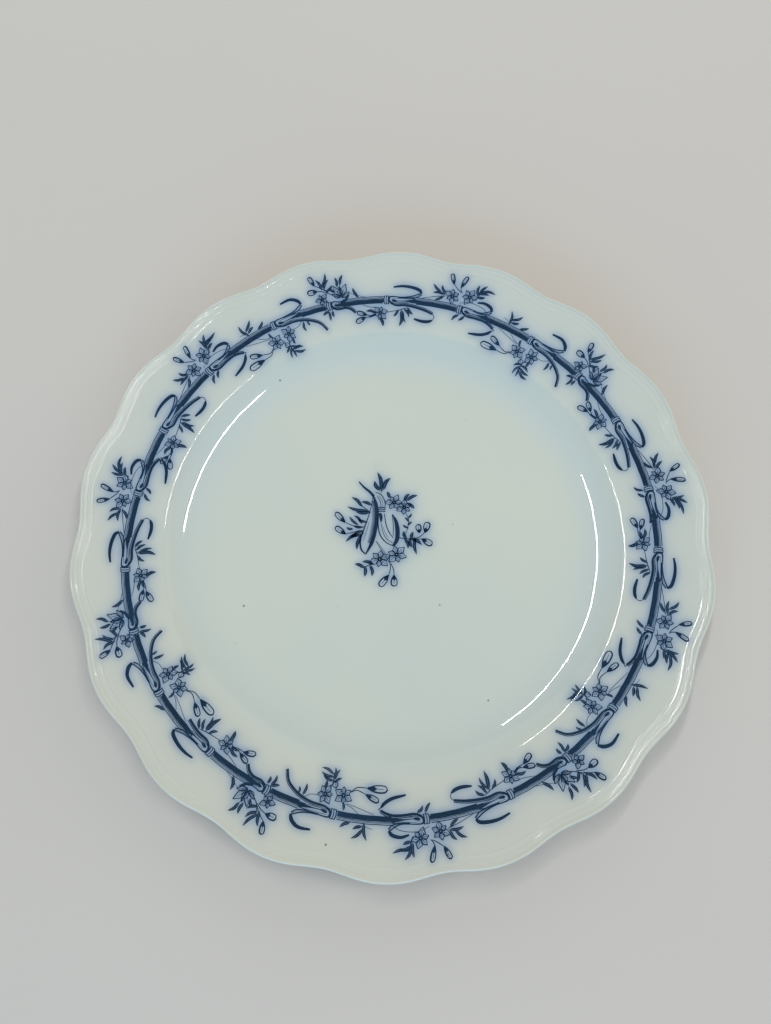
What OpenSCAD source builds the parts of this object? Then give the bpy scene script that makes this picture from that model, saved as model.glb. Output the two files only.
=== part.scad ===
// China dinner plate with a scalloped, moulded edge and a blue printed border of jointed
// cane, leaf blades and flower sprays. The fired body carries four print layers, which are
// laid as a potter lays them: three border strips end to end, and one spray in the well.

/* [Plate] */
// Overall diameter, across two opposite lobes
plate_d = 262; // [220:1:320]
// Overall height, from the foot's bearing face to the lip of a lobe
plate_h = 22.4; // [18.5:0.1:30]
// Width of the sloping rim, from the verge to the edge of a lobe
rim_w = 35; // [29:0.5:42]
// Clay thickness of the rim at the verge
rim_t = 3.6; // [2.5:0.1:6]
// Clay thickness at the moulded edge
edge_t = 2.8; // [2:0.1:4.5]

/* [Scalloped edge] */
// Number of lobes round the edge
lobes = 18; // [12:1:24]
// Difference in radius between the crest of a lobe and the trough beside it
wave_depth = 2.4; // [1:0.1:4]
// Turn of the first crest from +X, in degrees
lobe_turn = 8.3; // [0:0.1:20]
// Distance from the edge to the first moulded line, and from there to the second
line_gap = 2.5; // [1.8:0.1:3]
// Height of the moulded lines and of the lip above the rim
line_h = 0.35; // [0.2:0.05:0.6]

/* [Well] */
// Width of the curved wall between the flat well and the verge
cavetto_w = 19; // [15:0.5:25]
// Rise of that wall
cavetto_h = 6.2; // [4.5:0.1:8]
// Clay thickness under the well
well_t = 3.6; // [2.5:0.1:6]

/* [Foot ring] */
// Clear height under the well
foot_h = 2.4; // [1.5:0.1:4]
// Width of the face that the plate rests on
foot_face_w = 2.6; // [1.5:0.1:4]
// How much wider the ring is at its root than at its face, on each side
foot_draft = 0.7; // [0.3:0.1:1.2]

/* [Print] */
// Thickness of a print layer
print_t = 0.12; // [0.08:0.02:0.3]
// Distance from the edge of a lobe to the middle of the printed cane
cane_inset = 21.2; // [17:0.1:26]
// Width of the printed cane
cane_w = 3; // [2:0.1:4]
// Offset of the well's spray from the middle of the plate, sideways
spray_x = -4.3; // [-15:0.1:15]
// Offset of the well's spray from the middle of the plate, upwards
spray_y = 6; // [-15:0.1:15]

/* [Hidden] */
body_colour = "#e2e7df";
print_colour = "#24405e";

crest_r = plate_d / 2;
verge_r = crest_r - rim_w;
well_r = verge_r - cavetto_w;
floor_z = foot_h + well_t;
verge_z = floor_z + cavetto_h;
lip_inset = 0.35 * line_gap;
rim_slope = (plate_h - line_h - verge_z) / (rim_w - lip_inset);

// The cavetto is an arc that leaves the floor level and reaches the verge
cavetto_r = (cavetto_w * cavetto_w + cavetto_h * cavetto_h) / (2 * cavetto_h);
cavetto_a = asin(cavetto_w / cavetto_r);
cavetto_c = [well_r, floor_z + cavetto_r];
cavetto_steps = 10;

// The moulded edge is a ring of sections, from where it meets the turned rim
join_inset = 4 * line_gap + wave_depth;
join_r = crest_r - join_inset;
join_lap = 0.1;
join_step = 0.02;
steps_per_lobe = 8;
edge_steps = lobes * steps_per_lobe;
wave_flatness = 0.08;

// The print ends short of the foot of the inner moulded line, where the edge comes furthest in
line_foot = 2.35 * line_gap;
print_clear = 0.05;
print_end_r = crest_r - wave_depth - line_foot - print_clear;

// The foot ring stands under the edge of the well; the underside leaves it a little up its arc
foot_r = well_r;
foot_clear_a = 6;
verge_ease = 2;

// The motifs are drawn at full size for these radii and this rim, and shrink with a smaller plate
full_rim_w = 35;
full_cane_r = 110;
full_well_r = 77;
cane_r = crest_r - cane_inset;
motif_k = min(rim_w / full_rim_w, cane_r / full_cane_r);
spray_k = min(1, well_r / full_well_r);
curve_steps = 9;
leaflet_lean = 38;
stalk_half = 0.15;

// The ringed joint of the cane, and the clear length between the cane and what it meets
ring_w = 0.6;
ring_proud = 0.2;
band_reach = 1.4;
cane_clear = 0.3;

// The four kinds of joint in the border: 0 carries flowers outside, 1 flowers inside,
// 2 sprigs outside, 3 the large inside spray. Each is followed by its own turn, in degrees.
joint_turn = [17.4, 13.6, 13.9, 18.4];
sheath_l = [13.5, 12.5, 7.5, 12.5];

// The border's three strips: the angle where each starts (and where the last one ends),
// the kind of its first joint, and its number of joints
strip_turn = [10.7, 170.2, 230, 370.7];
strip_kind = [0, 0, 1];
strip_joints = [10, 4, 9];

// ---- shared shapes ----

function arc_points(centre, radius, from, to, steps) =
    [for (i = [0:steps]) let (a = from + (to - from) * i / steps) centre + radius * [cos(a), sin(a)]];

function reversed(list) = [for (i = [len(list) - 1:-1:0]) list[i]];

function rim_z(r) = verge_z + (r - verge_r) * rim_slope;

// Top of the cavetto wall, from the flat well up to the verge
cavetto_top = arc_points(cavetto_c, cavetto_r, -90, -90 + cavetto_a, cavetto_steps);

function edge_wave(a) = let (x = lobes * (a - lobe_turn)) cos(x) + wave_flatness * (1 - cos(2 * x));

function edge_r(a) = crest_r - wave_depth / 2 * (1 - edge_wave(a));

// A curve drawn by its control points
function curve_point(p, t) =
    len(p) == 1 ? p[0] : curve_point([for (i = [0:len(p) - 2]) p[i] * (1 - t) + p[i + 1] * t], t);

function curve(p) = [for (i = [0:curve_steps]) curve_point(p, i / curve_steps)];

function across(p, i) =
    let (d = p[min(i + 1, len(p) - 1)] - p[max(i - 1, 0)]) [-d[1], d[0]] / norm(d);

// Outline of a line whose half widths are given point by point
function ribbon(p, half) = concat(
    [for (i = [0:len(p) - 1]) p[i] + half[i] * across(p, i)],
    [for (i = [len(p) - 1:-1:0]) p[i] - half[i] * across(p, i)]);

// Points turned by an angle and moved to a place
function placed(points, at, turn) =
    [for (p = points) at + [p[0] * cos(turn) - p[1] * sin(turn), p[0] * sin(turn) + p[1] * cos(turn)]];

// A point of the border's motif, bent round the cane's circle
function bent(p) = let (r = $bend_r + p[1], a = p[0] / $bend_r * 180 / PI) [r * sin(a), r * cos(a) - $bend_r];

// A printed shape. The border's shapes bend round the rim, and the well's don't.
module ink(points) polygon($bend_r > 0 ? [for (p = points) bent(p)] : points);

// A leaf blade: it swells from its root and runs out to a fine tip
module blade(p, width) {
    points = curve(p);
    half = [for (i = [0:curve_steps]) let (t = i / curve_steps) 0.05 + width / 2 * sqrt(sin(20 + 160 * t))];
    ink(ribbon(points, half));
}

module stem(p, width = 0.35) {
    ink(ribbon(curve(p), [for (i = [0:curve_steps]) width / 2]));
}

module bud(root, tip, width) {
    swell = [0.1, 0.3, 0.45, 0.5, 0.45, 0.2];
    line = [for (i = [0:len(swell) - 1]) root + (tip - root) * i / (len(swell) - 1)];
    ink(ribbon(line, swell * width));
}

// One side of a sprig: a run of leaflets that lean towards the tip
function leaflet_side(length, pairs, leaf_l, leaf_w, side) = [
    for (i = [0:pairs - 1])
        let (
            s = length * (0.1 + 0.66 * i / pairs),
            root = [s, side * stalk_half],
            d = [cos(leaflet_lean), side * sin(leaflet_lean)],
            n = [-d[1], d[0]] * side)
                for (p = [
                    root,
                    root + leaf_l * 0.45 * d + leaf_w / 2 * n,
                    root + leaf_l * d,
                    root + leaf_l * 0.5 * d - leaf_w / 2 * n,
                    root + [leaf_w * 0.7, 0]]) p];

// Leaflets in pairs along a stem, with one at its tip; they stay narrower than their spacing
module sprig(root, tip, pairs = 3, leaf_l = 3.4) {
    d = tip - root;
    length = norm(d);
    leaf_w = min(1.1, 0.3 * length / pairs);
    last = length * 0.76;
    left = leaflet_side(length, pairs, leaf_l, leaf_w, 1);
    right = leaflet_side(length, pairs, leaf_l, leaf_w, -1);
    middle = (last + length) / 2;
    tip_leaf = [
        [last, stalk_half],
        [middle, leaf_w / 2],
        [length, 0],
        [middle, -leaf_w / 2],
        [last, -stalk_half]];
    outline = concat([[0, stalk_half]], left, tip_leaf, reversed(right), [[0, -stalk_half]]);
    ink(placed(outline, root, atan2(d[1], d[0])));
}

module flower(centre, radius, turn = 0, petals = 6) {
    pitch = 360 / petals;
    outline = [for (k = [0:petals - 1]) for (q = [[0, 1], [0.14, 0.6], [0.5, 0.28], [0.86, 0.6]])
        radius * q[1] * [cos(pitch * (k + q[0])), sin(pitch * (k + q[0]))]];
    ink(placed(outline, centre, turn));
}

// ---- border print: x runs clockwise along the cane from the joint, y runs outwards ----

module joint_band() {
    ring_l = cane_w + 2 * ring_proud;
    for (x = [-2 * ring_w, -ring_w / 3])
        translate([x, -ring_l / 2])
            square([ring_w, ring_l]);
}

// The sheath that wraps the cane beyond the joint, with its seam left open
module sheath(length) {
    difference() {
        ink(ribbon([[0.9, 0], [2, 0], [length * 0.5, 0], [length - 1, 0.3], [length, 0.4]],
            [1.2, 1.65, 1.55, 1.1, 0.3]));
        ink(ribbon([[2.2, 0], [length * 0.5, 0.1], [length - 2.5, 0.2]], [0.5, 0.45, 0.15]));
    }
}

module joint_flowers_outside() {
    blade([[7, 1.8], [12.5, 1.6], [16, 2.8], [15, 5.4], [7, 4.4]], 1.3);
    blade([[6, -2.4], [16, -2.2], [20, -4], [17, -7.6], [7.5, -9.4]], 1.3);
    flower([4, 6.4], 3, 20);
    flower([-4.4, 4.9], 3, 50);
    sprig([5.6, 8], [10.8, 12.6]);
    sprig([-7, 5], [-13.4, 8.6], 2);
    bud([-1.6, 9.6], [-0.6, 12.8], 1.2);
    bud([-5.4, 9.4], [-7.2, 12.4], 1.2);
    stem([[2.6, 7.6], [-0.6, 8.4], [-1.6, 9.8]]);
    stem([[2.6, 7.6], [-3.4, 8], [-5.4, 9.6]]);
    bud([-0.6, -2], [-1.8, -5.2], 1.1);
}

module joint_flower_inside() {
    blade([[5, 1.7], [13, 1.6], [17.4, 3.4], [15, 6.6], [3, 5.8]], 1.4);
    blade([[6, -2.4], [17, -2.6], [25, -5], [20, -8.2], [12.6, -7.7]], 1.4);
    sprig([8.4, -2.6], [6, -11.4], 4);
    flower([-3.2, -6.2], 3.2, 10);
    sprig([-5.6, -5.6], [-9.4, -4], 2, 2);
    bud([-10, -6.4], [-13.4, -6], 1.2);
    bud([-10, -7.6], [-14, -9.2], 1.5);
    stem([[-5, -6.2], [-8, -7], [-10.2, -6.4]]);
    stem([[-5, -6.2], [-8, -7], [-10.2, -7.7]]);
}

module joint_sprigs_outside() {
    blade([[5, 1.7], [8.6, 2], [9.8, 4.4]], 1.2);
    blade([[4, -2.2], [9.4, -2.2], [11.8, -3.6], [12.8, -5.2]], 1.2);
    flower([6.8, 4.8], 2.8, 0);
    flower([-2, 3.6], 2.2, 20);
    sprig([7, 6.8], [8.4, 12.2]);
    sprig([1, 7.2], [1.6, 12.8], 3);
    bud([-2.8, 9.6], [-4.8, 12.8], 1.2);
    bud([-3.2, 7], [-6, 7.4], 2);
    bud([13, 2.4], [14, 5.6], 1);
    stem([[4.4, 4.6], [0.6, 7], [-2.9, 9.8]]);
    stem([[2, 6.2], [0, 7.2], [-3.4, 7]]);
    bud([0, -2], [-1.4, -5.4], 1.4);
}

module joint_large_spray_inside() {
    blade([[5, 1.7], [12, 2], [19, 4.6], [15, 8.2], [7.4, 7.2]], 1.4);
    blade([[4, -2.4], [16, -2.2], [21.5, -6.5], [23.4, -10.6]], 1.5);
    flower([5.8, -7], 3.2, 0);
    flower([-2.4, -7.9], 3.2, 25);
    sprig([4.8, -9.8], [4.6, -16], 3);
    sprig([-7, 2], [-10.8, 6], 2, 2.4);
    bud([-9.6, -8.8], [-14.2, -7.8], 1.6);
    bud([-11, -11.2], [-17.4, -11.8], 2.1);
    bud([14.4, -3.6], [14.2, -7.2], 1);
    stem([[-4.6, -8], [-7, -10], [-9.8, -8.8]]);
    stem([[-4.6, -8], [-7, -10.6], [-11.2, -11.2]]);
}

module joint_print(kind) {
    $bend_r = cane_r / motif_k;
    scale(motif_k) {
        joint_band();
        sheath(sheath_l[kind]);
        if (kind == 0) joint_flowers_outside();
        if (kind == 1) joint_flower_inside();
        if (kind == 2) joint_sprigs_outside();
        if (kind == 3) joint_large_spray_inside();
    }
}

function next_kind(kind, count) = (kind + count) % len(joint_turn);

// Angle of a strip's joint, from the turns of the joints before it
function joint_angle(first_angle, first_kind, index) =
    index == 0
        ? first_angle
        : joint_angle(first_angle, first_kind, index - 1) + joint_turn[next_kind(first_kind, index - 1)];

// Angle that a length along the cane covers
function cane_angle(length) = length * motif_k / cane_r * 180 / PI;

module cane(from, to) {
    arc_outer = arc_points([0, 0], cane_r + cane_w * motif_k / 2, from, to, 4);
    arc_inner = arc_points([0, 0], cane_r - cane_w * motif_k / 2, to, from, 4);
    polygon(concat(arc_outer, arc_inner));
}

// The skin of clay that the border's ink lies in, over the cavetto and the rim
module border_film() {
    line = concat(cavetto_top, [[print_end_r, rim_z(print_end_r)]]);
    rotate_extrude($fn = edge_steps)
        polygon(concat(line, [for (p = reversed(line)) p + [0, print_t]]));
}

module on_film() {
    intersection() {
        border_film();
        linear_extrude(plate_h + print_t)
            children();
    }
}

// A strip starts at one joint's angle and stops short of the strip that follows it
module border_strip(index) {
    last = strip_joints[index] - 1;
    color(print_colour)
        for (i = [0:last]) {
            kind = next_kind(strip_kind[index], i);
            angle = joint_angle(strip_turn[index], strip_kind[index], i);
            next_angle = i == last ? strip_turn[index + 1]
                                   : joint_angle(strip_turn[index], strip_kind[index], i + 1);
            next_sheath = i == last ? max(sheath_l) : sheath_l[next_kind(kind, 1)];
            on_film()
                rotate(angle - 90)
                    translate([0, cane_r])
                        joint_print(kind);
            on_film()
                cane(angle + cane_angle(band_reach), next_angle - cane_angle(next_sheath + cane_clear));
        }
}

// ---- nodes ----

// Section of the turned middle: well, cavetto and the inner part of the rim
module turned_middle() {
    under_r = cavetto_r + well_t;
    under_rim_r = cavetto_c[0] + under_r * sin(cavetto_a) + verge_ease;
    under_cavetto = arc_points(cavetto_c, under_r, -90 + cavetto_a, -90 + foot_clear_a, cavetto_steps);
    outer_r = join_r + join_lap;
    rotate_extrude($fn = edge_steps)
        polygon(concat(
            [[0, foot_h], [0, floor_z]],
            cavetto_top,
            [[outer_r, rim_z(outer_r)], [outer_r, rim_z(outer_r) - section_t(join_r)]],
            [[under_rim_r, rim_z(under_rim_r) - rim_t]],
            under_cavetto,
            [[foot_r, foot_h]]));
}

// Rim thickness at a radius, from the verge out to the edge
function section_t(r) = rim_t + (edge_t - rim_t) * (r - verge_r) / rim_w;

// The moulded edge's section: how far in from the edge, how far above the rim's slope
edge_section = [
    [3 * line_gap, 0],
    [line_foot, 0],
    [2 * line_gap, line_h],
    [1.6 * line_gap, -line_h / 3],
    [1.35 * line_gap, -line_h / 3],
    [line_gap, line_h],
    [0.6 * line_gap, -line_h / 3],
    [lip_inset, line_h],
    [0.12 * line_gap, line_h * 0.4],
    [0, -edge_t * 0.3],
    [0, -edge_t * 0.6],
    [0.2 * line_gap, -edge_t * 0.95],
    [0.6 * line_gap, -edge_t]];

function ring_point(a, p) = let (r = edge_r(a) - p[0]) [r * cos(a), r * sin(a), rim_z(r) + p[1]];

function join_point(a, z) = [join_r * cos(a), join_r * sin(a), z];

function edge_ring(a) = concat(
    [join_point(a, rim_z(join_r) - join_step)],
    [for (p = edge_section) ring_point(a, p)],
    [join_point(a, rim_z(join_r) - section_t(join_r) + join_step)]);

module moulded_edge() {
    rings = [for (i = [0:edge_steps - 1]) edge_ring(lobe_turn + 360 * i / edge_steps)];
    m = len(rings[0]);
    polyhedron(
        points = [for (ring = rings) for (p = ring) p],
        faces = [for (i = [0:edge_steps - 1]) for (j = [0:m - 1])
            let (a = i * m, b = (i + 1) % edge_steps * m, k = (j + 1) % m)
                for (f = [[a + j, b + j, b + k], [a + j, b + k, a + k]]) f]);
}

module foot_ring() {
    outer = foot_r + foot_face_w / 2;
    inner = foot_r - foot_face_w / 2;
    root = foot_h + well_t / 2;
    rotate_extrude($fn = edge_steps)
        polygon([[inner, 0], [outer, 0], [outer + foot_draft, foot_h / 2], [outer + foot_draft, root],
            [inner - foot_draft, root], [inner - foot_draft, foot_h / 2]]);
}

module plate_body() {
    color(body_colour)
        union() {
            turned_middle();
            moulded_edge();
            foot_ring();
        }
}

module border_print_1() border_strip(0);

module border_print_2() border_strip(1);

module border_print_3() border_strip(2);

module centre_print() {
    $bend_r = 0;
    color(print_colour)
        translate([spray_x, spray_y, floor_z])
            linear_extrude(print_t)
                scale(spray_k) {
                    blade([[-10.5, 21], [-1.5, 14], [-0.5, 0], [-7.5, -11]], 3.4);
                    blade([[-1.5, 6.5], [-0.5, -6], [5, -15], [9, -2], [4.8, 6.4]], 2);
                    blade([[-3, 15.6], [0.6, 13.4], [0.4, 8.6]], 2);
                    sprig([-0.4, 17.6], [-2.6, 25.4], 2);
                    sprig([-7.7, 8.4], [-14.2, 13], 3);
                    sprig([-10.7, -2.6], [-15.4, -7], 2);
                    sprig([-7.2, 1.8], [-15, 4.6], 3, 2.6);
                    sprig([-4.6, -14.8], [-11.8, -15.6], 2);
                    sprig([8.2, -4.4], [15.6, -9.4], 3, 3);
                    sprig([7, 12], [14.4, 14.4], 3);
                    sprig([10.6, 7.4], [9.6, -1.6], 3, 2.6);
                    flower([-1.8, -13.4], 3.6, 10);
                    flower([6, -11.8], 3.8, 30);
                    flower([4.8, 11.8], 3.2, 0);
                    bud([-16.6, 3], [-20.6, 7], 2.2);
                    bud([-16.6, -2], [-20.6, 1], 2.2);
                    bud([2, -21], [-1.8, -25], 2.4);
                    bud([4.3, -20.4], [4.3, -25], 2.4);
                    bud([17.6, -4.8], [21.2, -6.8], 2.2);
                    bud([17, -3], [19, 2.4], 2.4);
                    stem([[-8, 1], [-12, 2], [-16.8, 3]]);
                    stem([[-8, -1], [-12, -2.4], [-16.8, -2]]);
                    stem([[3, -15], [3, -18], [2, -21.2]]);
                    stem([[3, -15], [4.3, -18], [4.3, -20.6]]);
                    stem([[6.8, -4], [12, -5.6], [17.8, -4.6]]);
                    stem([[12, -4.8], [15, -4.4], [17.2, -3]]);
                }
}

plate_body();
border_print_1();
border_print_2();
border_print_3();
centre_print();
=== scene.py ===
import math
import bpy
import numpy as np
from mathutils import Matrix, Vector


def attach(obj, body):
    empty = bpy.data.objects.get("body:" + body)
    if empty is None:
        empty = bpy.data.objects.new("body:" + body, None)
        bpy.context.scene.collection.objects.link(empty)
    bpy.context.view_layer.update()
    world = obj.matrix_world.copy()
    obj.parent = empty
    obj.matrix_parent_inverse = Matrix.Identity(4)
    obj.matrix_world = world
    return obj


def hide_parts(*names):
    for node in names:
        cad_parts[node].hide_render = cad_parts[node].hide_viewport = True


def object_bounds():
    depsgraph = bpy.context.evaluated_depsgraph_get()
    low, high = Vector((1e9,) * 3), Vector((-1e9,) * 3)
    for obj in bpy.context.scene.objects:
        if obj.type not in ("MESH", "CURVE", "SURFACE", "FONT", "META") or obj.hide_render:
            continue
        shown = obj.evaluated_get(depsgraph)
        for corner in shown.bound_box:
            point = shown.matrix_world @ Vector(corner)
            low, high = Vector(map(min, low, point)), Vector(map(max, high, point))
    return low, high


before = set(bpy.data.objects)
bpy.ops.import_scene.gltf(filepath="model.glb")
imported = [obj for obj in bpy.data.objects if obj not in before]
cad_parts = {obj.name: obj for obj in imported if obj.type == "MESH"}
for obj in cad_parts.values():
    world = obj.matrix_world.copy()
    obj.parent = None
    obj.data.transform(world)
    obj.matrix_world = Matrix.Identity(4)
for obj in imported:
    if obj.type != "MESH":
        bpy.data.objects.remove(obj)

# A scalloped dinner plate with a blue printed border. Lengths are in millimetres until a mesh is made.
# Plate coordinates: x right and y away as the photo looks, z up. Motif coordinates: x clockwise along the
# cane, y outwards.

MM = 0.001
CAD_LOW, CAD_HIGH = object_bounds()
rng = np.random.default_rng(18)

# ---- sizes, as in the CAD model ----

CREST_R = 131.0
RIM_W = 35.0
WAVE_DEPTH = 2.4
LOBES = 18
LOBE_TURN = math.radians(8.3)
WAVE_FLATNESS = 0.08
CAVETTO_W = 19.0
CAVETTO_H = 6.2
WELL_T = 3.6
RIM_T = 3.6
FOOT_H = 2.4
FOOT_FACE = 2.6
LINE_GAP = 2.5
LINE_H = 0.35
LIP_INSET = 0.35 * LINE_GAP
WELL_Z = FOOT_H + WELL_T
VERGE_R = CREST_R - RIM_W
WELL_R = VERGE_R - CAVETTO_W
VERGE_Z = WELL_Z + CAVETTO_H
RIM_SLOPE = (CAD_HIGH[2] / MM - LINE_H - VERGE_Z) / (RIM_W - LIP_INSET)
CAVETTO_R = (CAVETTO_W ** 2 + CAVETTO_H ** 2) / (2 * CAVETTO_H)
CAVETTO_A = math.asin(CAVETTO_W / CAVETTO_R)
CANE_R = CREST_R - 21.2
SPRAY_AT = np.array([-4.3, 6.0])

# ---- sizes of the visual plate only ----

# The edge and the lip stay a little inside the CAD's
EDGE_IN = 0.05
LIP_H = LINE_H - 0.02
LIP_NOSE = 1.15
EDGE_T = 2.4
# How far in from the edge the two moulded lines crest, how wide each is, and how high
LINE_INSETS = (2.7, 2 * LINE_GAP)
LINE_W = 0.34
LINE_CREST = 0.14
# The band along the edge whose steps are fine enough for the lip and the lines
MOULDED_W = 8.0
# The rim is round up to this radius, and has the edge's whole wave this much further out
WAVE_START = VERGE_R + 16
WAVE_GROWTH = 9
# How softly the cavetto's arc turns into the rim at the verge
VERGE_EASE = 0.16
STEPS_PER_LOBE = 30

# ---- the plate's surface ----


def rim_z(r):
    """Height of the rim's straight slope."""
    return VERGE_Z + (r - VERGE_R) * RIM_SLOPE


def top_z(r):
    """Height of the turned top surface: flat well, cavetto arc, eased verge, straight rim."""
    out = np.clip(r - WELL_R, 0, CAVETTO_W)
    wall = WELL_Z + CAVETTO_R - np.sqrt(CAVETTO_R ** 2 - out ** 2)
    wall = wall + np.maximum(r - VERGE_R, 0) * math.tan(CAVETTO_A)
    both = -VERGE_EASE * np.logaddexp(-wall / VERGE_EASE, -rim_z(r) / VERGE_EASE)
    return np.where(r < VERGE_R - 8, wall, both)


def top_normal(r):
    """The turned surface's unit normal: its share towards the middle, and its share upwards."""
    step = 0.05
    slope = (top_z(r + step) - top_z(r - step)) / (2 * step)
    return slope / np.hypot(slope, 1), 1 / np.hypot(slope, 1)


def edge_r(angle):
    """Radius of the scalloped edge."""
    x = LOBES * (angle - LOBE_TURN)
    wave = np.cos(x) + WAVE_FLATNESS * (1 - np.cos(2 * x))
    return CREST_R - EDGE_IN - WAVE_DEPTH / 2 * (1 - wave)


def moulding(inset):
    """Height of the lip and of the two moulded lines above the rim's slope."""
    height = LIP_H * np.clip((2.0 - inset) / 0.9, 0, 1) ** 2
    for middle in LINE_INSETS:
        height = height + LINE_CREST * np.exp(-((inset - middle) / LINE_W) ** 2)
    return height


def surface_z(x, y):
    """Height of the finished top, moulded lines and all."""
    r = math.hypot(x, y)
    return float(top_z(r) + moulding(edge_r(math.atan2(y, x)) - r))


def plate_section():
    """The section as rows of (radius, height, base): base 1 puts the height on top of the rim's slope.

    It runs from the middle of the well out to the edge, round the lip and back under to the foot.
    """
    steps = np.arange
    well = np.r_[steps(1, 32, 1.3), steps(33, WELL_R, 5)]
    wall = steps(WELL_R, VERGE_R - 3, 1.1)
    verge = np.r_[steps(VERGE_R - 3, VERGE_R - 1, 0.5), steps(VERGE_R - 1, VERGE_R + 1.5, 0.15)]
    rim = steps(VERGE_R + 1.5, WAVE_START, 0.9)
    rows = [(r, top_z(r), 0) for r in np.r_[well, wall, verge, rim]]
    rows += [(r, 0, 1) for r in steps(WAVE_START, CREST_R - MOULDED_W - 0.2, 0.9)]
    rows += [(CREST_R - d, moulding(d), 1) for d in steps(MOULDED_W, LIP_NOSE, -0.16)]
    nose_r, nose_z = CREST_R - LIP_NOSE, LIP_H - LIP_NOSE
    for turn in np.linspace(math.pi / 2, -math.pi / 2, 12):
        rows.append((nose_r + LIP_NOSE * math.cos(turn), nose_z + LIP_NOSE * math.sin(turn), 1))
    rows += [(r, -under_rim(r), 1) for r in steps(CREST_R - 3, WAVE_START, -2.2)]
    rows += [(r, rim_z(r) - under_rim(r), 0) for r in steps(WAVE_START - 1, VERGE_R + 5, -2.5)]
    under_r = CAVETTO_R + WELL_T
    for turn in np.linspace(CAVETTO_A, math.radians(5), 9):
        rows.append((WELL_R + under_r * math.sin(turn), WELL_Z + CAVETTO_R - under_r * math.cos(turn), 0))
    return rows + foot_rows()


def under_rim(r):
    """Depth of the rim's underside below its top: thinner towards the edge."""
    return 2 * LIP_NOSE - LIP_H + (RIM_T - EDGE_T) * (CREST_R - r) / RIM_W


def foot_rows():
    """The foot ring and the recess inside it."""
    half = FOOT_FACE / 2
    # How far out from the bearing face, and how high
    side = [(1.5, 2.3), (1.0, 1.8), (0.62, 1.1), (0.4, 0.5), (0.15, 0.15), (-0.15, 0.0)]
    outer = [(WELL_R + half + d, z, 0) for d, z in side]
    inner = [(WELL_R - half - d, z, 0) for d, z in reversed(side)]
    recess = [(r, FOOT_H, 0) for r in (WELL_R - 4, 66, 50, 30, 12, 2)]
    return outer + inner + recess


def smooth_step(x):
    x = np.clip(x, 0, 1)
    return x * x * (3 - 2 * x)


def plate_points(turns):
    """The section swept round: the wave of the edge grows in from nothing over the outer rim."""
    rows = np.array(plate_section())
    angle = np.linspace(0, 2 * math.pi, turns, endpoint=False) + LOBE_TURN
    grow = smooth_step((rows[:, 0] - WAVE_START) / WAVE_GROWTH)
    r = rows[:, :1] + grow[:, None] * (edge_r(angle) - CREST_R)[None, :]
    z = rows[:, 1:2] + np.where(rows[:, 2:3] == 1, rim_z(r), 0)
    return np.stack([r * np.cos(angle), r * np.sin(angle), z + 0 * r], -1)


def make_mesh(name, points, faces):
    mesh = bpy.data.meshes.new(name)
    mesh.from_pydata((np.asarray(points) * MM).tolist(), [], faces)
    mesh.validate()
    mesh.update()
    piece = bpy.data.objects.new(name, mesh)
    bpy.context.collection.objects.link(piece)
    return piece


def make_plate():
    turns = STEPS_PER_LOBE * LOBES
    rings = plate_points(turns)
    count = len(rings)
    points = list(rings.reshape(-1, 3)) + [(0, 0, WELL_Z), (0, 0, FOOT_H)]
    faces = []
    for k in range(turns):
        n = (k + 1) % turns
        for i in range(count - 1):
            a, b = i * turns, (i + 1) * turns
            faces.append((a + k, b + k, b + n, a + n))
        faces.append((count * turns, k, n))
        faces.append((count * turns + 1, (count - 1) * turns + n, (count - 1) * turns + k))
    piece = make_mesh("glazed_plate", points, faces)
    piece.data.shade_smooth()
    return piece


# ---- drawing with ink ----

# A leaf's stalk, as a share of the leaf's length
STALK = 0.22
# No line is thinner than this, as half its width
THINNEST = 0.02
# The ink stands this far above the glaze, and its underside is this far below
INK_PROUD = 0.05
INK_SUNK = 0.03


class Drawing:
    """Inked ribbons in plate coordinates, kept as the two edges of each with their tones.

    place turns motif coordinates into plate coordinates. Where a strip was cut, no sprig outside the
    cane goes past spray_reach, and no blade under it goes past blade_reach.
    """

    def __init__(self):
        self.ribbons = []
        self.place = None
        self.spray_reach = -math.inf
        self.blade_reach = math.inf

    def ribbon(self, points, half, tone):
        """Inks a line this wide on each side of its points, up to where the strip was cut."""
        points = np.asarray(points, float)
        kept = np.flatnonzero((points[:, 0] > self.spray_reach) | (points[:, 1] < CANE_HALF))
        if len(kept) < 2:
            return
        span = slice(kept[0], kept[-1] + 1)
        across = across_of(points)[span]
        half = np.broadcast_to(np.maximum(half, THINNEST), len(points))[span, None]
        tone = np.broadcast_to(tone, len(points))[span]
        points = points[span]
        self.ribbons.append((self.place(points + half * across), self.place(points - half * across), tone))


def across_of(points):
    """Unit vectors to the left of a line's direction, point by point."""
    along = np.gradient(points, axis=0)
    along /= np.maximum(np.linalg.norm(along, axis=1, keepdims=True), 1e-9)
    return np.stack([-along[:, 1], along[:, 0]], 1)


def through(points, count=6):
    """A smooth line through these points, in so many steps from each to the next."""
    p = np.asarray(points, float)
    p = np.vstack([2 * p[0] - p[1], p, 2 * p[-1] - p[-2]])
    t = np.linspace(0, 1, count, endpoint=False)[:, None]
    rows = []
    for a, b, c, d in zip(p, p[1:], p[2:], p[3:]):
        bend = (2 * a - 5 * b + 4 * c - d) * t ** 2 + (3 * b - a - 3 * c + d) * t ** 3
        rows.append(b + ((c - a) * t + bend) / 2)
    return np.vstack(rows + [p[-2:-1]])


def offset(points, distance):
    """The line moved to its left, by one distance or by one for each point."""
    return points + across_of(points) * np.reshape(distance, (-1, 1))


def profile(count, shape):
    """Values spread evenly along a line of so many points, with straight runs between them."""
    return np.interp(np.linspace(0, 1, count), np.linspace(0, 1, len(shape)), shape)


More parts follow.
